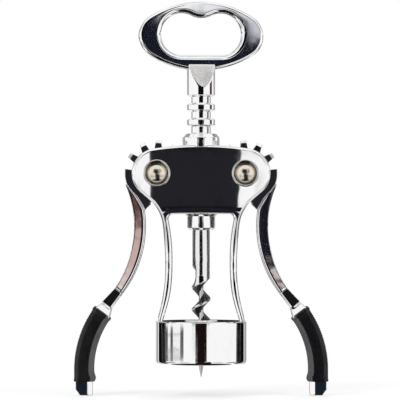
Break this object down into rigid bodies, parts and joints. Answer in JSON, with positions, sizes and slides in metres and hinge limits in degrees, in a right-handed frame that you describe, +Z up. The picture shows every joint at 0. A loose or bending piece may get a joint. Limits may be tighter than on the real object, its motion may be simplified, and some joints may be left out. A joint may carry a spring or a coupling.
{
  "type": "wing corkscrew",
  "caption": "Wing corkscrew: toothed levers with rubber grips drive a ring rack, a steel worm and a crown cap opener handle through a windowed frame with a bell.",
  "frame": {"origin": "on the worm's axis, at the height of the lever tips, which are the lowest points at rest", "axes": "+Z up along the worm's axis to the opener ring; the flat faces look along -Y and +Y; the levers lie towards -X and +X"},
  "size_m": [0.1066, 0.0382, 0.1648],
  "materials": {
    "chrome_plate": "mirror-bright plating on cast zinc",
    "nickel_plate": "bright warm nickel plating on steel",
    "worm_steel": "polished steel, lightly drawn",
    "plain_steel": "plain turned steel",
    "black_rubber": "satin moulded rubber",
    "guide_plastic": "matte moulded nylon"
  },
  "bodies": {
    "frame": {"frame": "chrome_plate", "worm_guide": "guide_plastic", "left_pivot_pin": "nickel_plate", "left_pin_cap": "nickel_plate", "left_front_cup": "nickel_plate", "left_back_cup": "nickel_plate", "left_hub_washers": "plain_steel", "right_pivot_pin": "nickel_plate", "right_pin_cap": "nickel_plate", "right_front_cup": "nickel_plate", "right_back_cup": "nickel_plate", "right_hub_washers": "plain_steel"},
    "left_lever": {"left_lever": "chrome_plate", "left_grip": "black_rubber"},
    "right_lever": {"right_lever": "chrome_plate", "right_grip": "black_rubber"},
    "neck_bush": {"neck_bush": "chrome_plate"},
    "spindle": {"rack_spindle": "chrome_plate", "opener_handle": "chrome_plate", "worm": "worm_steel", "worm_pin": "plain_steel"}
  },
  "joints": [
    {"name": "left_lever_swing", "type": "hinge", "parent": "frame", "child": "left_lever", "pos_m": [-0.0185, 0, 0.0929], "axis": [0, 1, 0], "range_deg": [-12, 118]},
    {"name": "right_lever_swing", "type": "hinge", "parent": "frame", "child": "right_lever", "pos_m": [0.0185, 0, 0.0929], "axis": [0, -1, 0], "range_deg": [-12, 118]},
    {"name": "spindle_spin", "type": "hinge", "parent": "frame", "child": "neck_bush", "pos_m": [0, 0, 0.10389], "axis": [0, 0, 1], "continuous": true},
    {"name": "spindle_slide", "type": "slide", "parent": "neck_bush", "child": "spindle", "axis": [0, 0, 1], "range_m": [-0.02472, 0.00252]}
  ],
  "couplings": [
    {"joint": "right_lever_swing", "follows": "left_lever_swing", "ratio": 1},
    {"joint": "spindle_slide", "follows": "left_lever_swing", "m_per_rad": -0.012}
  ]
}
